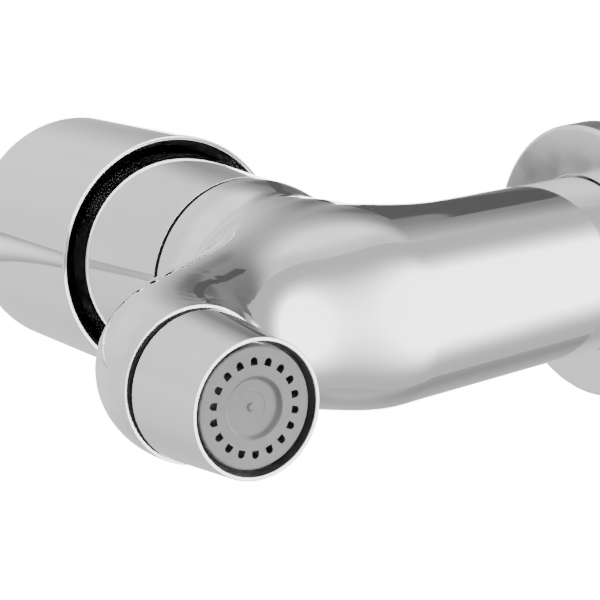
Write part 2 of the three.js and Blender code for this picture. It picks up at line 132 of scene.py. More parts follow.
def rounded(points):
    """A profile of (r, h) or (r, h, fillet) corners, with each filleted corner turned into an arc."""
    result = []
    count = len(points)
    for i, point in enumerate(points):
        fillet = point[2] if len(point) > 2 else 0
        corner = np.array(point[:2], float)
        if not fillet:
            result.append(tuple(corner))
            continue
        before = np.array(points[i - 1][:2], float) - corner
        after = np.array(points[(i + 1) % count][:2], float) - corner
        before /= np.linalg.norm(before)
        after /= np.linalg.norm(after)
        half = math.acos(np.clip(before @ after, -1, 1)) / 2
        reach = fillet / math.tan(half)
        bisector = (before + after) / np.linalg.norm(before + after)
        centre = corner + bisector * fillet / math.sin(half)
        start = corner + before * reach - centre
        end = corner + after * reach - centre
        turn = math.atan2(start[0] * end[1] - start[1] * end[0], start @ end)
        steps = max(2, round(FILLET_STEPS * abs(turn) / (math.pi / 2)))
        for k in range(steps + 1):
            c, s = math.cos(turn * k / steps), math.sin(turn * k / steps)
            arm = np.array([c * start[0] - s * start[1], s * start[0] + c * start[1]])
            result.append(tuple(centre + arm))
    return result


def revolve(name, profile, sides=ROUND, warp=None):
    """A closed mesh from a closed (r, h) profile turned about Z. warp(r, angle, h) gives a new radius."""
    profile = rounded(profile)
    verts, rings = [], []
    for r, h in profile:
        if r < 1e-6:
            rings.append([len(verts)] * sides)
            verts.append((0, 0, h * MM))
            continue
        ring = []
        for k in range(sides):
            angle = 2 * math.pi * k / sides
            radius = warp(r, angle, h) if warp else r
            ring.append(len(verts))
            verts.append((radius * math.cos(angle) * MM, radius * math.sin(angle) * MM, h * MM))
        rings.append(ring)
    faces = []
    for lower, upper in zip(rings, rings[1:] + rings[:1]):
        for k in range(sides):
            m = (k + 1) % sides
            face = list(dict.fromkeys([lower[k], lower[m], upper[m], upper[k]]))
            if len(face) > 2:
                faces.append(face)
    mesh = bpy.data.meshes.new(name)
    mesh.from_pydata(verts, [], faces)
    bm = bmesh.new()
    bm.from_mesh(mesh)
    bmesh.ops.recalc_face_normals(bm, faces=bm.faces)
    bm.to_mesh(mesh)
    bm.free()
    return mesh


def mesh_from(bm, name, scale=1.0):
    """A new mesh with what the bmesh holds, which is freed."""
    mesh = bpy.data.meshes.new(name)
    bm.to_mesh(mesh)
    bm.free()
    mesh.transform(Matrix.Scale(scale, 4))
    return mesh


UPRIGHT = Matrix.Identity(4)
INTO_WALL = Matrix.Rotation(math.radians(-90), 4, "X")      # +Z of the profile becomes +Y


def stand(mesh, turn=UPRIGHT, at=(0, 0, 0)):
    """Turns a mesh built about Z and moves it to its place, in millimetres."""
    mesh.transform(Matrix.Translation(Vector(at) * MM) @ turn)
    return mesh


def evaluated_mesh(thing):
    """A new mesh of an object with its modifiers or curve settings applied."""
    bpy.context.view_layer.update()
    return bpy.data.meshes.new_from_object(thing.evaluated_get(bpy.context.evaluated_depsgraph_get()))


def carve(mesh, cutter_mesh):
    """The mesh with the cutter taken away, as a new mesh."""
    piece = bpy.data.objects.new("carved", mesh)
    cutter = bpy.data.objects.new("cutter", cutter_mesh)
    for o in (piece, cutter):
        bpy.context.scene.collection.objects.link(o)
    cut = piece.modifiers.new("cut", "BOOLEAN")
    cut.operation = "DIFFERENCE"
    cut.solver = "EXACT"
    cut.object = cutter
    result = evaluated_mesh(piece)
    for o in (piece, cutter):
        bpy.data.objects.remove(o)
    return result


# ---------- implicit surfaces ----------

SLOPE_STEP = 0.02
RELAX_ROUNDS = 8
RELAX_SHARE = 0.6


def segment_distance(p, a, b):
    """Distance from each point to a segment, and how far along the segment it is."""
    a, b = np.array(a, float), np.array(b, float)
    d = b - a
    u = np.clip(((p - a) @ d) / (d @ d), 0, 1)
    return np.linalg.norm(p - a - u[..., None] * d, axis=-1), u


def smooth_min(a, b, k):
    """The lesser of two fields, with a rounded meeting about k wide."""
    h = np.maximum(k - np.abs(a - b), 0) / k
    return np.minimum(a, b) - h * h * k / 4


def smooth_step(x):
    """A soft rise from 0 to 1."""
    x = np.clip(x, 0, 1)
    return x * x * (3 - 2 * x)


def gradient(field, p):
    """The field's slope at each point, by central differences."""
    g = np.empty_like(p)
    for axis in range(3):
        offset = np.zeros(3)
        offset[axis] = SLOPE_STEP
        g[:, axis] = field(p + offset) - field(p - offset)
    return g / (2 * SLOPE_STEP)


def settle(field, p, rounds=6):
    """Moves points onto the surface where field is 0."""
    for _ in range(rounds):
        g = gradient(field, p)
        p = p - g * (field(p) / np.maximum((g * g).sum(1), 1e-6))[:, None]
    return p


def surface_net(field, low, high, cell):
    """Vertices and quads of the surface where field is 0, one vertex in each crossed cell."""
    axes = [np.arange(a, b + cell, cell) for a, b in zip(low, high)]
    grid = np.stack(np.meshgrid(*axes, indexing="ij"), -1)
    inside = field(grid.reshape(-1, 3)).reshape(grid.shape[:3]) < 0
    corners = sum(
        inside[i : i - 1 or None, j : j - 1 or None, k : k - 1 or None].astype(int)
        for i in (0, 1) for j in (0, 1) for k in (0, 1)
    )
    crossed = (corners > 0) & (corners < 8)
    index = np.full(crossed.shape, -1)
    index[crossed] = np.arange(crossed.sum())
    places = np.argwhere(crossed) * cell + np.array(low) + cell / 2
    quads = []
    for axis in range(3):
        near = np.swapaxes(inside, 0, axis)
        cells = np.swapaxes(index, 0, axis)
        change = near[:-1] != near[1:]
        for i, j, k in np.argwhere(change[:, 1:-1, 1:-1]):
            quad = [cells[i, j, k], cells[i, j + 1, k], cells[i, j + 1, k + 1], cells[i, j, k + 1]]
            if near[i, j + 1, k + 1] == (axis == 0):
                quad.reverse()
            quads.append(quad)
    return places, quads


def relax(points, quads, field):
    """Evens out the net along the surface and puts it back on the surface."""
    quads = np.array(quads)
    pairs = np.concatenate([quads[:, [0, 1]], quads[:, [1, 2]], quads[:, [2, 3]], quads[:, [3, 0]]])
    pairs = np.concatenate([pairs, pairs[:, ::-1]])
    count = np.bincount(pairs[:, 0], minlength=len(points))[:, None]
    for _ in range(RELAX_ROUNDS):
        total = np.zeros_like(points)
        np.add.at(total, pairs[:, 0], points[pairs[:, 1]])
        points = settle(field, points + RELAX_SHARE * (total / count - points), 2)
    return settle(field, points, 4)


def implicit_bmesh(field, low, high, cell):
    """An even quad mesh of the surface where field is 0, within a box, as a bmesh."""
    points, quads = surface_net(field, low, high, cell)
    points = relax(settle(field, points), quads, field)
    bm = bmesh.new()
    verts = [bm.verts.new(p) for p in points]
    for quad in quads:
        bm.faces.new([verts[i] for i in quad])
    bmesh.ops.recalc_face_normals(bm, faces=bm.faces)
    return bm


def field_normals(mesh, field, tolerance=0.03):
    """Shades what lies on the field's surface by the field's own slope, and the rest by its faces."""
    mesh.polygons.foreach_set("use_smooth", [True] * len(mesh.polygons))
    mesh.set_sharp_from_angle(angle=SHARP_ANGLE)
    count = len(mesh.vertices)
    places = np.empty(count * 3)
    mesh.vertices.foreach_get("co", places)
    places = places.reshape(-1, 3) / MM
    slope = gradient(field, places)
    slope /= np.maximum(np.linalg.norm(slope, axis=1), 1e-9)[:, None]
    on_surface = np.abs(field(places)) < tolerance
    corners = np.empty(len(mesh.loops) * 3)
    mesh.corner_normals.foreach_get("vector", corners)
    corners = corners.reshape(-1, 3)
    vertex = np.empty(len(mesh.loops), int)
    mesh.loops.foreach_get("vertex_index", vertex)
    close = (corners * slope[vertex]).sum(1) > math.cos(SHARP_ANGLE)
    use = on_surface[vertex] & close
    corners[use] = slope[vertex][use]
    mesh.normals_split_custom_set(corners.tolist())


# ---------- materials ----------

NOISE_ROUGHNESS = 0.55
RAMP_ENDS = (0.3, 0.7)       # the noise values that give a ramp's two ends
METAL_GRAIN = 60.0


def node_material(name):
    """A new material with its nodes, links and Principled shader."""
    material = bpy.data.materials.new(name)
    material.use_nodes = True
    nodes = material.node_tree.nodes
    return material, nodes, material.node_tree.links, nodes["Principled BSDF"]


def noise_mask(nodes, links, scale, detail=4):
    """A noise in the object's own coordinates, as a 0 to 1 factor."""
    place = nodes.new("ShaderNodeTexCoord")
    texture = nodes.new("ShaderNodeTexNoise")
    texture.inputs["Scale"].default_value = scale
    texture.inputs["Detail"].default_value = detail
    texture.inputs["Roughness"].default_value = NOISE_ROUGHNESS
    links.new(place.outputs["Object"], texture.inputs["Vector"])
    return texture.outputs["Fac"]


def ramp(nodes, links, factor, low, high):
    """Maps a factor onto a range of values or colours."""
    node = nodes.new("ShaderNodeValToRGB")
    for element, position, value in zip(node.color_ramp.elements, RAMP_ENDS, (low, high)):
        element.position = position
        element.color = (value, value, value, 1) if isinstance(value, float) else (*value, 1)
    links.new(factor, node.inputs["Fac"])
    return node.outputs["Color"]


def add_bump(nodes, links, shader, height, strength, distance):
    """Gives a shader a bump of a height factor."""
    bump = nodes.new("ShaderNodeBump")
    bump.inputs["Strength"].default_value = strength
    bump.inputs["Distance"].default_value = distance
    links.new(height, bump.inputs["Height"])
    links.new(bump.outputs["Normal"], shader.inputs["Normal"])


def mixed(nodes, links, operation, a, b):
    """The outcome of a Math node on two factors or numbers."""
    node = nodes.new("ShaderNodeMath")
    node.operation = operation
    for socket, value in zip(node.inputs, (a, b)):
        if isinstance(value, float):
            socket.default_value = value
        else:
            links.new(value, socket)
    return node.outputs[0]


def metal(name, light, dark, smooth, rough, bump_scale, bump_distance):
    """A metal with slight colour changes, uneven polish and a faint waviness."""
    material, nodes, links, shader = node_material(name)
    shader.inputs["Metallic"].default_value = 1.0
    patches = noise_mask(nodes, links, METAL_GRAIN)
    links.new(ramp(nodes, links, patches, dark, light), shader.inputs["Base Color"])
    polish = noise_mask(nodes, links, METAL_GRAIN * 2.3, 6)
    links.new(ramp(nodes, links, polish, smooth, rough), shader.inputs["Roughness"])
    waves = noise_mask(nodes, links, bump_scale, 2)
    add_bump(nodes, links, shader, waves, 0.5, bump_distance)
    return material


def plastic(name, light, dark, roughness, grain=900.0, bump=0.00002, specular=0.5):
    """Moulded plastic or rubber: a fine texture and soft tone changes."""
    material, nodes, links, shader = node_material(name)
    shader.inputs["Specular IOR Level"].default_value = specular
    tone = noise_mask(nodes, links, 45.0, 3)
    links.new(ramp(nodes, links, tone, dark, light), shader.inputs["Base Color"])
    wear = noise_mask(nodes, links, 220.0, 5)
    links.new(ramp(nodes, links, wear, roughness, roughness + 0.12), shader.inputs["Roughness"])
    add_bump(nodes, links, shader, noise_mask(nodes, links, grain, 3), 0.5, bump)
    return material


def machined(name, light, dark, smooth, rough, ring_scale, across):
    """Turned metal: fine tool rings round the piece, with a tarnish in patches."""
    material, nodes, links, shader = node_material(name)
    shader.inputs["Metallic"].default_value = 1.0
    tarnish = noise_mask(nodes, links, 90.0, 6)
    links.new(ramp(nodes, links, tarnish, dark, light), shader.inputs["Base Color"])
    links.new(ramp(nodes, links, tarnish, rough, smooth), shader.inputs["Roughness"])
    place = nodes.new("ShaderNodeTexCoord")
    rings = nodes.new("ShaderNodeTexWave")
    rings.wave_type = "BANDS"
    rings.bands_direction = across
    rings.inputs["Scale"].default_value = ring_scale
    rings.inputs["Distortion"].default_value = 0.4
    links.new(place.outputs["Object"], rings.inputs["Vector"])
    add_bump(nodes, links, shader, rings.outputs["Fac"], 0.35, 0.00003)
    return material


BRIGHT = (0.88, 0.885, 0.895)
CHROME = metal("chrome_plate", BRIGHT, (0.84, 0.845, 0.855), 0.04, 0.075, 28.0, 0.00002)
CHROME_TURNED = metal("chrome_turned", BRIGHT, (0.85, 0.855, 0.865), 0.03, 0.055, 40.0, 0.000006)
CHROME_SATIN = metal("chrome_satin", (0.9, 0.905, 0.915), (0.86, 0.865, 0.875), 0.2, 0.28, 40.0, 0.00001)
BRASS = machined("brass_machined", (0.78, 0.62, 0.34), (0.6, 0.44, 0.22), 0.22, 0.42, 700.0, "Y")
STEEL = machined("steel_plated", (0.66, 0.67, 0.68), (0.52, 0.52, 0.5), 0.24, 0.4, 500.0, "Y")
COPPER = machined("copper_tube", (0.82, 0.48, 0.32), (0.55, 0.28, 0.18), 0.2, 0.38, 120.0, "Y")
RUBBER = plastic("black_rubber", (0.035, 0.035, 0.036), (0.02, 0.02, 0.021), 0.62, specular=0.35)
WHITE_PLASTIC = plastic("white_acetal", (0.84, 0.82, 0.76), (0.78, 0.76, 0.7), 0.38)
GREY_PLASTIC = plastic("grey_acetal", (0.105, 0.107, 0.108), (0.085, 0.087, 0.088), 0.42, specular=0.3)
RED_PLASTIC = plastic("red_abs", (0.5, 0.04, 0.05), (0.42, 0.03, 0.04), 0.2)
CERAMIC = plastic("alumina", (0.9, 0.88, 0.84), (0.86, 0.84, 0.8), 0.12, grain=1500.0, bump=0.000005)
# Painted shade: the near-black colours put inside recesses, seam gaps and holes in place of their shade.
SHADE_DARK = (0.008, 0.008, 0.009)
SHADE_LIGHT = (0.03, 0.03, 0.032)


def within(nodes, links, split, axis_y, radius, low, high, inner=0.0):
    """1 inside an upright tube about x = 0, y = axis_y, and 0 outside it. Millimetres."""
    across = mixed(nodes, links, "POWER", split.outputs["X"], 2.0)
    depth = mixed(nodes, links, "SUBTRACT", split.outputs["Y"], axis_y * MM)
    square = mixed(nodes, links, "ADD", across, mixed(nodes, links, "MULTIPLY", depth, depth))
    inside = mixed(nodes, links, "LESS_THAN", square, (radius * MM) ** 2)
    if inner:
        beyond = mixed(nodes, links, "GREATER_THAN", square, (inner * MM) ** 2)
        inside = mixed(nodes, links, "MULTIPLY", inside, beyond)
    above = mixed(nodes, links, "GREATER_THAN", split.outputs["Z"], low * MM)
    below = mixed(nodes, links, "LESS_THAN", split.outputs["Z"], high * MM)
    return mixed(nodes, links, "MULTIPLY", inside, mixed(nodes, links, "MULTIPLY", above, below))


def painted_shade_inside(material, *cylinders):
    """Painted shade: the plating turns dark, dull and non-metal inside the given upright cylinders."""
    material = material.copy()
    nodes, links = material.node_tree.nodes, material.node_tree.links
    plated = nodes["Principled BSDF"]
    # The painted-shade shader: near black, dull and not metal, with a random tone.
    shaded = nodes.new("ShaderNodeBsdfPrincipled")
    shaded.inputs["Specular IOR Level"].default_value = 0.2
    shade_and_grime = noise_mask(nodes, links, 160.0, 5)
    links.new(ramp(nodes, links, shade_and_grime, SHADE_DARK, SHADE_LIGHT), shaded.inputs["Base Color"])
    links.new(ramp(nodes, links, shade_and_grime, 0.45, 0.7), shaded.inputs["Roughness"])
    place = nodes.new("ShaderNodeTexCoord")
    split = nodes.new("ShaderNodeSeparateXYZ")
    links.new(place.outputs["Object"], split.inputs["Vector"])
    masks = [within(nodes, links, split, *cylinder) for cylinder in cylinders]
    inside = masks[0]
    for mask in masks[1:]:
        inside = mixed(nodes, links, "MAXIMUM", inside, mask)
    mix = nodes.new("ShaderNodeMixShader")
    links.new(inside, mix.inputs["Fac"])
    links.new(plated.outputs["BSDF"], mix.inputs[1])
    links.new(shaded.outputs["BSDF"], mix.inputs[2])
    links.new(mix.outputs["Shader"], nodes["Material Output"].inputs["Surface"])
    return material


SLOT_FINISH = {
    "chrome": CHROME, "brass": BRASS, "plated_steel": STEEL, "copper": COPPER,
    "black_rubber": RUBBER, "white_plastic": WHITE_PLASTIC, "grey_plastic": GREY_PLASTIC,
    "red_plastic": RED_PLASTIC, "ceramic_disc": CERAMIC,
}


def finish_cad_nodes():
    """Every CAD node that stays gets its slot's finish."""
    slot_of = {part["node"]: part["material_slot"] for part in frame["record"]["subparts"]}
    for name, node in frame["nodes"].items():
        node.data.materials.clear()
        node.data.materials.append(SLOT_FINISH[slot_of[name]])


# ---------- body casting ----------

ARM_R_HUB = 21.9
ARM_R_WALL = 20.7
ARM_FRONT = 5.0
ARM_BLEND = 11.0
HUB_ROUND = 47.0         # centre of the hub's round lower end
SPOUT_RISE = 23.2
SPOUT_DROOP = 0.48
SPOUT_BEND_R = 25.0
SPOUT_R_HUB = 20.3
SPOUT_R_END = 15.9
SPOUT_BLEND = 18.6
SPOUT_BEND_STEPS = 24
BLEND_FADE = 30.0        # the blends die away over this height below the hub's top
SPOUT_END_Z = -22.1
RUN_ON = 4.0             # extra length before an end is cut off
RIM_BEVEL = 0.2
RIM_STEPS = [(0.1, 0.55), (0.3, 0.3), (0.6, 0.15)]     # inward and along, in bevels
SEAM = 1.6               # visible joint between two turned faces
SEAM_EDGE = 0.15
NIPPLE_R = 12.0          # spigot inside the outlet sleeve
NIPPLE_END = -27.0
WATERWAY_R = 8.0
SEAT_R = 20.2            # cartridge seat
SEAT_FLOOR = 44.0
COLLAR_SEAT_R = 22.7
COLLAR_SEAT_Z = 45.7
ARM_BORE_R = 15.2
SOCKET_R = 16.9          # where the shank is screwed into the arm
SOCKET_T = 22.0
PORT_X, PORT_Y, PORT_R = 8.5, 8.0, 4.6
MIXED_Y, MIXED_R = -10.0, 5.5
BODY_CELL, BODY_CELL_QUICK = 1.4, 2.0
CHANNEL_CELL = 1.5


def spout_line():
    """The spout's centre line from the hub axis to below the outlet, in hub coordinates."""
    sweep = math.pi / 2 - SPOUT_DROOP
    bend_y = -OUTLET_REACH + SPOUT_BEND_R
    slope_y = bend_y - SPOUT_BEND_R * math.cos(sweep)
    slope_z = SPOUT_RISE + slope_y * math.tan(SPOUT_DROOP)
    bend_z = slope_z - SPOUT_BEND_R * math.sin(sweep)
    line = [(0, 0, SPOUT_RISE)]
    for k in range(SPOUT_BEND_STEPS + 1):
        angle = sweep * (1 - k / SPOUT_BEND_STEPS)
        y = bend_y - SPOUT_BEND_R * math.cos(angle)
        line.append((0, y, bend_z + SPOUT_BEND_R * math.sin(angle)))
    line.append((0, -OUTLET_REACH, SPOUT_END_Z - 2 * RUN_ON))
    return np.array(line)


SPOUT = spout_line()
SPOUT_LENGTHS = np.linalg.norm(np.diff(SPOUT, axis=0), axis=1)
SPOUT_SHARE = np.concatenate([[0], np.cumsum(SPOUT_LENGTHS)]) / SPOUT_LENGTHS.sum()


def spout_field(p):
    """Distance to the spout, which tapers from the hub to the outlet."""
    nearest = None
    for i in range(len(SPOUT) - 1):
        distance, u = segment_distance(p, SPOUT[i], SPOUT[i + 1])
        share = SPOUT_SHARE[i] + (SPOUT_SHARE[i + 1] - SPOUT_SHARE[i]) * u
        depth = distance - (SPOUT_R_HUB + (SPOUT_R_END - SPOUT_R_HUB) * share)
        nearest = depth if nearest is None else np.minimum(nearest, depth)
    return nearest


def body_field(p):
    """The casting's outer surface in hub coordinates: arm, hub and spout run into one another."""
    wall = WALL_END - HUB_Y
    distance, u = segment_distance(p, (0, ARM_FRONT, 0), (0, wall + 2 * ARM_R_WALL, 0))
    reach = wall + 2 * ARM_R_WALL - ARM_FRONT
    arm = distance - (ARM_R_HUB + (ARM_R_WALL - ARM_R_HUB) * u * reach / (wall - ARM_FRONT))
    hub = segment_distance(p, (0, 0, HUB_ROUND), (0, 0, HUB_TOP + 2 * HUB_R))[0] - HUB_R
    fade = smooth_step((HUB_TOP - p[..., 2]) / BLEND_FADE) + 1e-3
    return smooth_min(smooth_min(arm, hub, ARM_BLEND * fade), spout_field(p), SPOUT_BLEND * fade)


def trimmed_body_field(p):
    """The casting with its three ends stopped a little beyond where they are cut."""
    ends = np.maximum(p[..., 2] - HUB_TOP - RUN_ON, p[..., 1] - (WALL_END - HUB_Y) - RUN_ON)
    return np.maximum(np.maximum(body_field(p), ends), SPOUT_END_Z - RUN_ON - p[..., 2])


def cut_end(bm, point, normal, reach):
    """Cuts the mesh at a plane, within reach of a point in it, and drops what lies beyond."""
    faces = [f for f in bm.faces if (f.calc_center_median() - Vector(point)).length < reach]
    edges = {e for f in faces for e in f.edges}
    verts = {v for f in faces for v in f.verts}
    part = list(verts) + list(edges) + faces
    bmesh.ops.bisect_plane(bm, geom=part, plane_co=point, plane_no=normal, clear_outer=True)
    towards = Vector(normal)
    level = towards.dot(Vector(point))
    return [
        e for e in bm.edges
        if e.is_boundary and all(abs(towards.dot(v.co) - level) < 1e-4 for v in e.verts)
    ]


def close_end(bm, edges, centre, normal, steps):
    """Rounds the rim of an open end, carries it on through (radius, height) steps, and closes it."""
    axis = Vector(normal)
    rim = [(inward * RIM_BEVEL, along * RIM_BEVEL) for inward, along in RIM_STEPS]
    for i, (inward, along) in enumerate(rim + list(steps)):
        new = bmesh.ops.extrude_edge_only(bm, edges=edges)["geom"]
        edges = [g for g in new if isinstance(g, bmesh.types.BMEdge) and g.is_boundary]
        for vert in {v for e in edges for v in e.verts}:
            arm = vert.co - Vector(centre)
            height = arm.dot(axis)
            arm -= axis * height
            if i < len(rim):
                vert.co += axis * along - arm.normalized() * inward
            else:
                vert.co = Vector(centre) + axis * (height + along) + arm.normalized() * inward
    bmesh.ops.holes_fill(bm, edges=edges, sides=0)


def rod(radius, low, high, turn=UPRIGHT, at=(0, 0, 0)):
    """A plain cutter about Z, in hub coordinates."""
    profile = [(0, low), (radius, low), (radius, high), (0, high)]
    return stand(revolve("rod", profile, SMALL_ROUND), turn, at)


def channel_field(p):
    """The waterway inside the spout, from under the cartridge to the outlet."""
    start = SPOUT[0] + 0.25 * (SPOUT[1] - SPOUT[0])
    line = [start, *SPOUT[1:-1], (0, -OUTLET_REACH, NIPPLE_END - 2 * WATERWAY_R)]
    near = [segment_distance(p, a, b)[0] for a, b in zip(line, line[1:])]
    return np.maximum(np.min(near, axis=0) - WATERWAY_R, NIPPLE_END - 1 - p[..., 2])


def channel():
    """The waterway as a cutter."""
    low = (-WATERWAY_R - 3, -OUTLET_REACH - WATERWAY_R - 3, NIPPLE_END - 4)
    high = (WATERWAY_R + 3, WATERWAY_R + 3, SPOUT_RISE + WATERWAY_R + 3)
    return mesh_from(implicit_bmesh(channel_field, low, high, CHANNEL_CELL), "channel", MM)


def body_casting():
    """The one-piece casting: its outer skin, its three cut ends, and the bores inside it."""
    wall = WALL_END - HUB_Y
    low = (-HUB_R - 5, -OUTLET_REACH - SPOUT_R_END - 6, SPOUT_END_Z - RUN_ON - 3)
    high = (HUB_R + 5, wall + RUN_ON + 3, HUB_TOP + RUN_ON + 3)
    bm = implicit_bmesh(trimmed_body_field, low, high, BODY_CELL)
    ends = [
        ((0, 0, HUB_TOP - RIM_BEVEL), (0, 0, 1), 1.3 * HUB_R, ()),
        ((0, wall - RIM_BEVEL, 0), (0, 1, 0), 1.3 * HUB_R, ()),
        ((0, -OUTLET_REACH, SPOUT_END_Z + RIM_BEVEL), (0, 0, -1), 1.4 * SPOUT_R_END,
         ((NIPPLE_R, 0), (NIPPLE_R, SPOUT_END_Z - NIPPLE_END))),
    ]
    for centre, normal, reach, nipple in ends:
        close_end(bm, cut_end(bm, centre, normal, reach), centre, normal, nipple)
    bmesh.ops.recalc_face_normals(bm, faces=bm.faces)
    mesh = mesh_from(bm, "body_shell", MM)
    cutters = [
        rod(SEAT_R, SEAT_FLOOR, HUB_TOP + 1), rod(COLLAR_SEAT_R, COLLAR_SEAT_Z, HUB_TOP + 1),
        rod(ARM_BORE_R, 2, wall + 1, INTO_WALL), rod(SOCKET_R, wall - SOCKET_T, wall + 1, INTO_WALL),
        rod(MIXED_R, 12, SEAT_FLOOR + 1, at=(0, MIXED_Y, 0)), channel(),
    ]
    cutters += [rod(PORT_R, 0, SEAT_FLOOR + 1, at=(x, PORT_Y, 0)) for x in (-PORT_X, PORT_X)]
    for cutter in cutters:
        mesh = carve(mesh, cutter)
    mesh.name = "body_shell"
    field_normals(mesh, body_field)
    mesh.transform(Matrix.Translation((0, HUB_Y * MM, 0)))
    # Painted shade: the hub's top face inside the collar seam and the spout's end face inside the sleeve
    # are dark and dull.
    finish_and_shade = painted_shade_inside(CHROME, (HUB_Y, HUB_R - RIM_BEVEL, HUB_TOP - 0.1, HUB_TOP + 1),
                         (OUTLET_Y, SPOUT_R_END - RIM_BEVEL, NIPPLE_END - 1, SPOUT_END_Z + 0.1))
    finished_object("body_shell", mesh, "tap_body", finish_and_shade, ["body_casting"])


# ---------- turned pieces ----------

FLANGE_RIM = 4.2
FLANGE_LIP = 1.5             # the narrow ring round the flange's bore, at the wall
FLANGE_RECESS = 3.0
COLLAR_FLARE = (52.4, 86.0)  # where the collar starts and stops widening
FLARE_CURVE = 1.4
FLARE_STEPS = 16
COLLAR_SPIGOT_R = 22.4
COLLAR_SPIGOT = 4.5          # how far the collar reaches down into the hub
COLLAR_MOUTH_R = 16.5
COLLAR_ROOF = 7.7
CAP_ROUND = 256              # sides of the cap
CAP_RIM = 1.2
CAP_WALL = 3.0
CAP_ROOF = 5.4
CAP_HOLE_R = 9.3             # for the lever's boss
SLEEVE_MOUTH_R = 13.15
SLEEVE_BORE_R = 12.5
SLEEVE_LEDGE = 3.0


def wall_flange():
    """The round cover against the wall, with a recess for its seal."""
    inner = ARM_R_WALL + 0.45
    thick = FLANGE_BACK - FLANGE_FRONT
    rim, lip, recess = FLANGE_R - FLANGE_RIM, inner + FLANGE_LIP, thick - FLANGE_RECESS
    profile = [
        (inner, 0, 0.4), (FLANGE_R, 0, 1.2), (FLANGE_R, thick, 0.3), (rim, thick),
        (rim, recess), (lip, recess), (lip, thick), (inner, thick),
    ]
    mesh = stand(revolve("flange_plate", profile), INTO_WALL, (0, FLANGE_FRONT, 0))
    shade(finished_object("flange_plate", mesh, "tap_body", CHROME_SATIN, ["wall_flange"]))


def collar():
    """The collar over the cartridge: it widens from the seam to a lip inside the cap."""
    bottom = HUB_TOP + SEAM
    foot = HUB_TOP - COLLAR_SPIGOT
    roof = COLLAR_TOP - COLLAR_ROOF
    low, high = COLLAR_FLARE
    flare = []
    for k in range(FLARE_STEPS + 1):
        u = k / FLARE_STEPS
        flare.append((HUB_R + (COLLAR_LIP_R - HUB_R) * u ** FLARE_CURVE, low + (high - low) * u))
    profile = [
        (SEAT_R, foot), (COLLAR_SPIGOT_R, foot), (COLLAR_SPIGOT_R, bottom), (HUB_R, bottom, SEAM_EDGE),
        *flare, (COLLAR_LIP_R, COLLAR_TOP, 0.5),
        (COLLAR_MOUTH_R, COLLAR_TOP, 0.4), (COLLAR_MOUTH_R, roof), (SEAT_R, roof),
    ]
    mesh = stand(revolve("collar_ring", profile), UPRIGHT, (0, HUB_Y, 0))
    # Painted shade: the collar's underside and spigot, in the seam gap, are dark and dull.
    finish_and_shade = painted_shade_inside(CHROME_TURNED, (HUB_Y, HUB_R - SEAM_EDGE, 0, HUB_TOP + SEAM + 0.1))
    shade(finished_object("collar_ring", mesh, "tap_body", finish_and_shade, ["dome_collar"]))


def handle_cap():
    """The cup over the collar, with painted shade inside."""
    roof = CAP_TOP - CAP_ROOF
    mouth = CAP_R - CAP_RIM
    bore = CAP_R - CAP_WALL
    profile = [
        (CAP_R, CAP_BOTTOM, 0.35), (CAP_R, CAP_TOP, 1.4), (CAP_HOLE_R, CAP_TOP, 0.3), (CAP_HOLE_R, roof),
        (bore, roof, 1.0), (bore, CAP_BOTTOM + 5, 0.5), (mouth, CAP_BOTTOM + 1.5, 0.4),
        (mouth, CAP_BOTTOM, 0.35),
    ]
    mesh = stand(revolve("handle_shell", profile, CAP_ROUND), UPRIGHT, (0, HUB_Y, 0))
    # Painted shade: the cap's inner walls and roof, from just inside its mouth, are dark and dull.
    finish_and_shade = painted_shade_inside(CHROME_TURNED, (HUB_Y, mouth + 0.1, CAP_BOTTOM + 0.4, CAP_TOP - 3))
    shade(finished_object("handle_shell", mesh, "handle", finish_and_shade, ["handle_cap"]))


def outlet_sleeve():
    """The tapered housing of the aerator, screwed onto the end of the spout."""
    mouth = SLEEVE_MOUTH_R
    seam = SPOUT_END_Z - SEAM
    ledge = SLEEVE_END + SLEEVE_LEDGE
    profile = [
        (SLEEVE_R_END, SLEEVE_END, 0.3), (SLEEVE_R_TOP, seam, SEAM_EDGE), (SLEEVE_BORE_R, seam),
        (SLEEVE_BORE_R, ledge), (mouth - 0.2, ledge), (mouth, SLEEVE_END, 0.25),
    ]
    mesh = stand(revolve("outlet_shell", profile), UPRIGHT, (0, OUTLET_Y, 0))
    # Painted shade: the sleeve's bore and ledge, and its top face at the seam, are dark and dull.
    finish_and_shade = painted_shade_inside(CHROME_TURNED, (OUTLET_Y, mouth + 0.05, SLEEVE_END + 0.3, 0),
                         (OUTLET_Y, SLEEVE_R_TOP - SEAM_EDGE, seam - 0.1, 0))
    shade(finished_object("outlet_shell", mesh, "tap_body", finish_and_shade, ["outlet_sleeve"]))


# ---------- aerator face ----------

HOLE_COUNT = 18
HOLE_RING_R = 9.15
HOLE_LENGTH = 1.6
HOLE_WIDTH = 1.5
HOLE_PHASE = math.radians(4.5)
HOLE_ARC_STEPS = 12
DISH_R = 6.2
DISH_DEPTH = 1.4
DISH_STEP = 0.12
PIP_DEPTH = 0.5              # the moulding mark in the middle
HOLE_SHADE_BAND = (1.5, 8.2)       # from the disc's rim, and from its axis: where the holes get painted shade


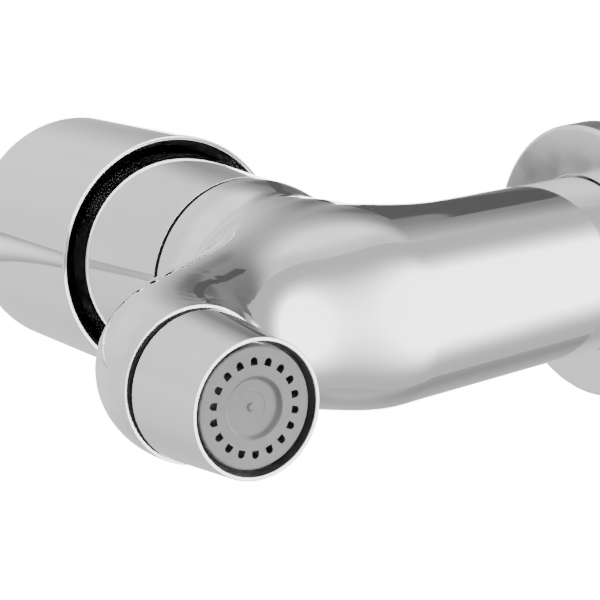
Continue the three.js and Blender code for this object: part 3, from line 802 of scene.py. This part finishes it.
def hole_cutters():
    """Eighteen short posts, flat towards the middle of the face and round outwards, in one mesh."""
    bm = bmesh.new()
    half = HOLE_WIDTH / 2
    outline = [(-HOLE_LENGTH / 2, half), (-HOLE_LENGTH / 2, -half)]
    for k in range(HOLE_ARC_STEPS + 1):
        angle = math.pi * (k / HOLE_ARC_STEPS - 0.5)
        outline.append((HOLE_LENGTH / 2 - half + half * math.cos(angle), half * math.sin(angle)))
    for i in range(HOLE_COUNT):
        turn = Matrix.Rotation(HOLE_PHASE + 2 * math.pi * i / HOLE_COUNT, 4, "Z")
        place = turn @ Matrix.Translation((HOLE_RING_R, 0, 0))
        low = [bm.verts.new(place @ Vector((x, y, FACE_LOW - 1)) * MM) for x, y in outline]
        high = [bm.verts.new(place @ Vector((x, y, FACE_TOP + 1)) * MM) for x, y in outline]
        bm.faces.new(low)
        bm.faces.new(high[::-1])
        for k in range(len(outline)):
            m = (k + 1) % len(outline)
            bm.faces.new([low[k], high[k], high[m], low[m]])
    bmesh.ops.recalc_face_normals(bm, faces=bm.faces)
    return mesh_from(bm, "cutters")


def aerator_face():
    """The disc in the outlet: a shallow dish with a ring of stream holes round it."""
    dish = FACE_LOW + DISH_DEPTH
    profile = [
        (0, dish - PIP_DEPTH), (0.7, dish - PIP_DEPTH, 0.3), (0.9, dish, 0.15),
        (2.9, dish, 0.1), (3.1, dish - DISH_STEP, 0.1),
        (DISH_R - 0.7, dish - DISH_STEP, 0.6), (DISH_R, FACE_LOW, 0.35),
        (FACE_R, FACE_LOW, 0.5), (FACE_R, FACE_TOP), (0, FACE_TOP),
    ]
    mesh = carve(revolve("aerator_disc", profile, SMALL_ROUND), hole_cutters())
    mesh.name = "aerator_disc"
    stand(mesh, UPRIGHT, (0, OUTLET_Y, 0))
    rim, inner = HOLE_SHADE_BAND
    # Painted shade: in the band of the holes, all but the front face is near black, so the holes look dark
    # inside.
    finish_and_shade = painted_shade_inside(GREY_PLASTIC, (OUTLET_Y, FACE_R - rim, FACE_LOW + 0.15, 0, inner))
    shade(finished_object("aerator_disc", mesh, "tap_body", finish_and_shade, ["aerator_face"]))


# ---------- lever ----------

LEVER_LOW = CAP_TOP + 0.3
LEVER_END_Y = span("lever", Y)[0] - HUB_Y
LEVER_LIFT = 12.0
LEVER_BASE_R = 15.0
LEVER_HALF_T = 4.5
LEVER_MIDDLE = LEVER_LOW + LEVER_HALF_T
LEVER_TOP = LEVER_MIDDLE + LEVER_HALF_T
LEVER_EDGE = 1.2
LEVER_CELL, LEVER_CELL_QUICK = 1.0, 1.6
BUTTON_SEAT_R = 6.8
BUTTON_SEAT_DEPTH = 2.3
BOSS_R = 9.0
BUTTON_R = 6.5


def lever_field(p):
    """A round base with a flattened arm that rises and thins towards its tip, in hub coordinates."""
    flat = np.hypot(p[..., 0], p[..., 1]) - LEVER_BASE_R + LEVER_EDGE
    tall = np.abs(p[..., 2] - LEVER_MIDDLE) - LEVER_HALF_T + LEVER_EDGE
    outside = np.hypot(np.maximum(flat, 0), np.maximum(tall, 0))
    base = outside + np.minimum(np.maximum(flat, tall), 0) - LEVER_EDGE
    reach = LEVER_END_Y + 6
    u = np.clip(p[..., 1] / reach, 0, 1)
    size = 8.6 - 2.6 * u
    dy = p[..., 1] - u * reach
    dz = (p[..., 2] - LEVER_MIDDLE - LEVER_LIFT * u * u) * 2
    arm = (np.sqrt(p[..., 0] ** 2 + dy ** 2 + dz ** 2) - size) * 0.6
    return smooth_min(base, arm, 2.5)


def lever():
    """The lever, its boss down into the cap, and the index button in its top."""
    low = (-17, LEVER_END_Y - 3, LEVER_LOW - 3)
    high = (17, 18, LEVER_TOP + LEVER_LIFT + 3)
    bm = implicit_bmesh(lever_field, low, high, LEVER_CELL)
    mesh = mesh_from(bm, "lever_arm", MM)
    floor_z, open_z = LEVER_TOP - BUTTON_SEAT_DEPTH, LEVER_TOP + 5
    seat = [(0, floor_z), (BUTTON_SEAT_R, floor_z), (BUTTON_SEAT_R, open_z), (0, open_z)]
    mesh = carve(mesh, revolve("seat", seat))
    mesh.name = "lever_arm"
    field_normals(mesh, lever_field, 0.08)
    mesh.transform(Matrix.Translation((0, HUB_Y * MM, 0)))
    finished_object("lever_arm", mesh, "handle", CHROME, ["lever"])
    foot, top = CAP_TOP - 5.1, LEVER_LOW + 1
    boss = [(0, foot), (BOSS_R, foot, 0.4), (BOSS_R, top), (0, top)]
    mesh = stand(revolve("lever_boss", boss, SMALL_ROUND), UPRIGHT, (0, HUB_Y, 0))
    shade(finished_object("lever_boss", mesh, "handle", CHROME_TURNED))
    low, high = span("index_button", Z)
    dome = [
        (0, low), (BUTTON_R, low), (BUTTON_R, high - 0.4, 0.6), (3.5, high - 0.05, 3.0), (0, high),
    ]
    mesh = stand(revolve("index_dot", dome, SMALL_ROUND), UPRIGHT, (0, HUB_Y, 0))
    shade(finished_object("index_dot", mesh, "handle", RED_PLASTIC, ["index_button"]))


# ---------- what is behind the wall ----------

SHANK_CLEAR_R = 16.9         # nuts and washers that go over the shank
SHANK_R = 16.6
SHANK_BORE_R = 13.6
THREAD_PITCH = 2.3
THREAD_DEPTH = 1.2
THREAD_STEPS = 8             # rings of the mesh in one turn of the thread
THREAD_SLOPE = 0.9           # share of the pitch that the groove's two slopes take up
NUT_ACROSS = 46.0
UNION_ACROSS = 22.0
UNION_BORE_R = 4.7
NUT_CHAMFER = 1.6
WASHER_R = 28.0
FEED_R = 4.2
FEED_BORE_R = 3.0
FEED_SPREAD = 16.0
FEED_TOP = 40.0
FEED_BEND_R = 10.0
FEED_BEND_STEPS = 6


def hexagonal(across_flats, chamfer_r):
    """A radius rule that turns a round nut into a hexagonal one."""
    def warp(r, angle, h):
        if r < chamfer_r - 4:
            return r
        sector = (angle + math.pi / 6) % (math.pi / 3) - math.pi / 6
        return min(r, across_flats / 2 / math.cos(sector))
    return warp


def hex_nut(name, node, across_flats, bore, at_x=0.0):
    """A brass nut, chamfered at both ends."""
    low, high = span(node, Y)
    corner = across_flats / math.sqrt(3)
    profile = [
        (bore, low, 0.4), (across_flats / 2 - 0.4, low), (corner, low + NUT_CHAMFER),
        (corner, high - NUT_CHAMFER), (across_flats / 2 - 0.4, high), (bore, high, 0.4),
    ]
    mesh = revolve(name, profile, ROUND, hexagonal(across_flats, across_flats / 2))
    stand(mesh, INTO_WALL, (at_x, 0, 0))
    shade(finished_object(name, mesh, "tap_body", BRASS, [node]), math.radians(20))


def threaded_shank():
    """A tube with a helical thread on the part behind the wall."""
    low, high = span("threaded_shank", Y)
    root = SHANK_R - THREAD_DEPTH
    count = int((high - low - 1) / THREAD_PITCH * THREAD_STEPS)
    crests = [(SHANK_R, low + 0.5 + (high - low - 1) * k / count) for k in range(count + 1)]
    rings = [(SHANK_BORE_R, low), (root, low), *crests, (root, high), (SHANK_BORE_R, high)]

    def thread(r, angle, h):
        if r < SHANK_R - 0.01:
            return r
        turn = (h / THREAD_PITCH - angle / (2 * math.pi)) % 1.0
        groove = 1 - min(1.0, abs(turn - 0.5) * 2 / THREAD_SLOPE)
        return SHANK_R - THREAD_DEPTH * groove

    mesh = stand(revolve("shank_thread", rings, SMALL_ROUND, thread), INTO_WALL)
    piece = finished_object("shank_thread", mesh, "tap_body", BRASS, ["threaded_shank"])
    shade(piece, math.radians(50))


def washer(name, node, material):
    """A flat ring over the shank."""
    low, high = span(node, Y)
    profile = [
        (SHANK_CLEAR_R, low, 0.3), (WASHER_R, low, 0.5), (WASHER_R, high, 0.5), (SHANK_CLEAR_R, high, 0.3),
    ]
    mesh = stand(revolve(name, profile), INTO_WALL)
    shade(finished_object(name, mesh, "tap_body", material, [node]))


def feed_tube(side, name, node):
    """A bent copper tube from the cartridge, back through the arm and shank, to its union."""
    end = span(node, Y)[1]
    line = [(PORT_X, PORT_Y, FEED_TOP), (PORT_X, PORT_Y, 25)]
    for k in range(FEED_BEND_STEPS + 1):
        angle = math.pi / 2 * k / FEED_BEND_STEPS
        y = PORT_Y + FEED_BEND_R * (1 - math.cos(angle))
        line.append((PORT_X, y, FEED_BEND_R * (1 - math.sin(angle))))
    line += [(PORT_X, -HUB_Y - 20, 0), (PORT_X, -HUB_Y + 40, 0)]
    line += [(FEED_SPREAD, end - 16 - HUB_Y, 0), (FEED_SPREAD, end - HUB_Y, 0)]
    line = [Vector((side * x, y + HUB_Y, z)) * MM for x, y, z in line]
    curve = bpy.data.curves.new(name, "CURVE")
    curve.dimensions = "3D"
    curve.resolution_u = 8
    spline = curve.splines.new("BEZIER")
    spline.bezier_points.add(len(line) - 1)
    for i, point in enumerate(spline.bezier_points):
        before, after = line[max(i - 1, 0)], line[min(i + 1, len(line) - 1)]
        direction = (after - before).normalized()
        point.co = line[i]
        point.handle_left_type = point.handle_right_type = "FREE"
        point.handle_left = point.co - direction * (point.co - before).length / 3
        point.handle_right = point.co + direction * (after - point.co).length / 3
    curve.bevel_depth = (FEED_R + FEED_BORE_R) / 2 * MM
    curve.bevel_resolution = 12
    holder = bpy.data.objects.new(name, curve)
    bpy.context.scene.collection.objects.link(holder)
    mesh = evaluated_mesh(holder)
    bpy.data.objects.remove(holder)
    piece = finished_object(name, mesh, "tap_body", COPPER, [node])
    wall = piece.modifiers.new("wall", "SOLIDIFY")
    wall.thickness = (FEED_R - FEED_BORE_R) * MM
    wall.offset = 0
    mesh.polygons.foreach_set("use_smooth", [True] * len(mesh.polygons))


# ---------- stage ----------

CAMERA_AT = Vector((0.1046, -0.2964, -0.3450))
CAMERA_AIM = Vector((0.0051, -0.0853, 0.0042))
CAMERA_UP = Vector((0.9685, 0.1894, 0.1615))
CAMERA_LENS = 114.1
SENSOR_WIDTH = 36.0
FLOOR_Z = -0.62
STAGE_CENTRE = Vector((0, -0.07, 0.02))
CARD_DISTANCE = 2.2
ROOM_LIGHT = 2.0
BACKDROP_LIGHT = 20.0
FLOOR_POWER = 260.0
FLOOR_HALF = 40.0
ROOM_STOPS = [(0.0, 0.40), (0.17, 0.43), (0.36, 0.58), (0.62, 0.62), (0.82, 0.53), (0.96, 0.60)]
# Where the room is dimmer: direction, angle of the dark middle, angle where it ends, light left.
DIM_SIDES = [((31, 45), 3, 13, 0.6), ((22, 27), 16, 50, 0.2), ((-55, 22), 4, 34, 0.55)]
DARK_CARD = [(5, 57), (26, 52), (42, 40), (50, 22), (46, 21), (38, 35), (23, 48), (5, 55)]
DARK_CARD_LIGHT = 0.12
SOFT_BOX = [(-45, 42), (-45, 62), (-20, 68), (4, 62), (4, 53), (-18, 48)]
SOFT_BOX_LIGHT = 6.0


def camera():
    """The view from below and in front, with the right side of the tap upwards."""
    data = bpy.data.cameras.new("camera")
    data.lens = CAMERA_LENS
    data.sensor_width = SENSOR_WIDTH
    cam = bpy.data.objects.new("camera", data)
    back = (CAMERA_AT - CAMERA_AIM).normalized()
    right = CAMERA_UP.cross(back).normalized()
    up = back.cross(right)
    turn = Matrix((right, up, back)).transposed().to_4x4()
    cam.matrix_world = Matrix.Translation(CAMERA_AT) @ turn
    bpy.context.scene.collection.objects.link(cam)
    bpy.context.scene.camera = cam


def bearing(azimuth, elevation):
    """A unit direction from the tap: azimuth 0 is the wall side, 90 the right, in degrees."""
    a, e = math.radians(azimuth), math.radians(elevation)
    return Vector((math.sin(a) * math.cos(e), math.cos(a) * math.cos(e), math.sin(e)))


def dimmed(nodes, links, place, shade_at, inner, outer, least):
    """A factor that falls smoothly from 1 to least towards one direction. Angles in degrees."""
    towards = nodes.new("ShaderNodeVectorMath")
    towards.operation = "DOT_PRODUCT"
    towards.inputs[1].default_value = bearing(*shade_at)[:]
    links.new(place.outputs["Generated"], towards.inputs[0])
    fall = nodes.new("ShaderNodeMapRange")
    fall.interpolation_type = "SMOOTHERSTEP"
    fall.inputs["From Min"].default_value = math.cos(math.radians(outer))
    fall.inputs["From Max"].default_value = math.cos(math.radians(inner))
    fall.inputs["To Min"].default_value = 1.0
    fall.inputs["To Max"].default_value = least
    links.new(towards.outputs["Value"], fall.inputs["Value"])
    return fall.outputs["Result"]


def world():
    """A soft room: dimmer at the horizon, brighter overhead and to the right, white to the camera."""
    room = bpy.data.worlds.new("studio")
    bpy.context.scene.world = room
    room.use_nodes = True
    nodes, links = room.node_tree.nodes, room.node_tree.links
    place = nodes.new("ShaderNodeTexCoord")
    split = nodes.new("ShaderNodeSeparateXYZ")
    links.new(place.outputs["Generated"], split.inputs["Vector"])
    height = nodes.new("ShaderNodeValToRGB")
    links.new(split.outputs["Z"], height.inputs["Fac"])
    ramp_stops = height.color_ramp.elements
    while len(ramp_stops) < len(ROOM_STOPS):
        ramp_stops.new(0.5)
    for stop, (position, value) in zip(ramp_stops, ROOM_STOPS):
        stop.position = position
        stop.color = (value, value, value * 1.01, 1)
    across = mixed(nodes, links, "MULTIPLY", split.outputs["X"], 0.28)
    sideways = mixed(nodes, links, "ADD", across, 1.0)
    clouds = nodes.new("ShaderNodeTexNoise")
    clouds.inputs["Scale"].default_value = 2.2
    clouds.inputs["Detail"].default_value = 1.0
    links.new(place.outputs["Generated"], clouds.inputs["Vector"])
    soft = mixed(nodes, links, "ADD", mixed(nodes, links, "MULTIPLY", clouds.outputs["Fac"], 0.5), 0.75)
    for shade_at, inner, outer, least in DIM_SIDES:
        side = dimmed(nodes, links, place, shade_at, inner, outer, least)
        soft = mixed(nodes, links, "MULTIPLY", soft, side)
    bright = mixed(nodes, links, "MULTIPLY", soft, ROOM_LIGHT)
    strength = mixed(nodes, links, "MULTIPLY", sideways, bright)
    room_light = nodes["Background"]
    links.new(height.outputs["Color"], room_light.inputs["Color"])
    links.new(strength, room_light.inputs["Strength"])
    backdrop = nodes.new("ShaderNodeBackground")
    backdrop.inputs["Strength"].default_value = BACKDROP_LIGHT
    path = nodes.new("ShaderNodeLightPath")
    mix = nodes.new("ShaderNodeMixShader")
    links.new(path.outputs["Is Camera Ray"], mix.inputs["Fac"])
    links.new(room_light.outputs["Background"], mix.inputs[1])
    links.new(backdrop.outputs["Background"], mix.inputs[2])
    links.new(mix.outputs["Shader"], nodes["World Output"].inputs["Surface"])


def card(name, corners, light):
    """A flat studio card that the camera doesn't see, with its own even brightness."""
    mesh = bpy.data.meshes.new(name)
    places = [STAGE_CENTRE + bearing(*corner) * CARD_DISTANCE for corner in corners]
    mesh.from_pydata(places, [], [range(len(corners))])
    material = bpy.data.materials.new(name)
    material.use_nodes = True
    nodes, links = material.node_tree.nodes, material.node_tree.links
    nodes.clear()
    glow = nodes.new("ShaderNodeEmission")
    glow.inputs["Strength"].default_value = light
    links.new(glow.outputs["Emission"], nodes.new("ShaderNodeOutputMaterial").inputs["Surface"])
    mesh.materials.append(material)
    panel = bpy.data.objects.new(name, mesh)
    panel.visible_camera = False
    panel.visible_diffuse = False
    panel.visible_shadow = False
    bpy.context.scene.collection.objects.link(panel)


def floor_light():
    """A lamp level with the tap that washes the floor below and behind it."""
    data = bpy.data.lights.new("floor_light", "SPOT")
    data.energy = FLOOR_POWER
    data.spot_size = math.radians(175)
    data.spot_blend = 1.0
    data.shadow_soft_size = 0.05
    data.use_shadow = False
    lamp = bpy.data.objects.new("floor_light", data)
    lamp.location = (0.08, 0.3, 0.08)
    lamp.visible_glossy = False
    bpy.context.scene.collection.objects.link(lamp)


def floor():
    """A plain pale floor, wide enough to reach the horizon."""
    mesh = bpy.data.meshes.new("floor")
    s = FLOOR_HALF
    corners = [(-s, -s, FLOOR_Z), (s, -s, FLOOR_Z), (s, s, FLOOR_Z), (-s, s, FLOOR_Z)]
    mesh.from_pydata(corners, [], [(0, 1, 2, 3)])
    ground = bpy.data.objects.new("floor", mesh)
    bpy.context.scene.collection.objects.link(ground)
    mesh.materials.append(plastic("pale_floor", (0.72, 0.72, 0.72), (0.7, 0.7, 0.7), 0.8))


def studio():
    """The room, the floor and its lamp, and the two cards."""
    world()
    floor()
    floor_light()
    card("dark_card", DARK_CARD, DARK_CARD_LIGHT)
    card("soft_box", SOFT_BOX, SOFT_BOX_LIGHT)


finish_cad_nodes()
body_casting()
wall_flange()
collar()
handle_cap()
outlet_sleeve()
aerator_face()
lever()
hex_nut("clamp_nut", "mounting_nut", NUT_ACROSS, SHANK_CLEAR_R)
hex_nut("hot_union", "hot_union_nut", UNION_ACROSS, UNION_BORE_R, -FEED_SPREAD)
hex_nut("cold_union", "cold_union_nut", UNION_ACROSS, UNION_BORE_R, FEED_SPREAD)
threaded_shank()
washer("rubber_ring", "rubber_washer", RUBBER)
washer("steel_ring", "backing_washer", STEEL)
feed_tube(-1, "hot_pipe", "hot_feed_tube")
feed_tube(1, "cold_pipe", "cold_feed_tube")
camera()
studio()
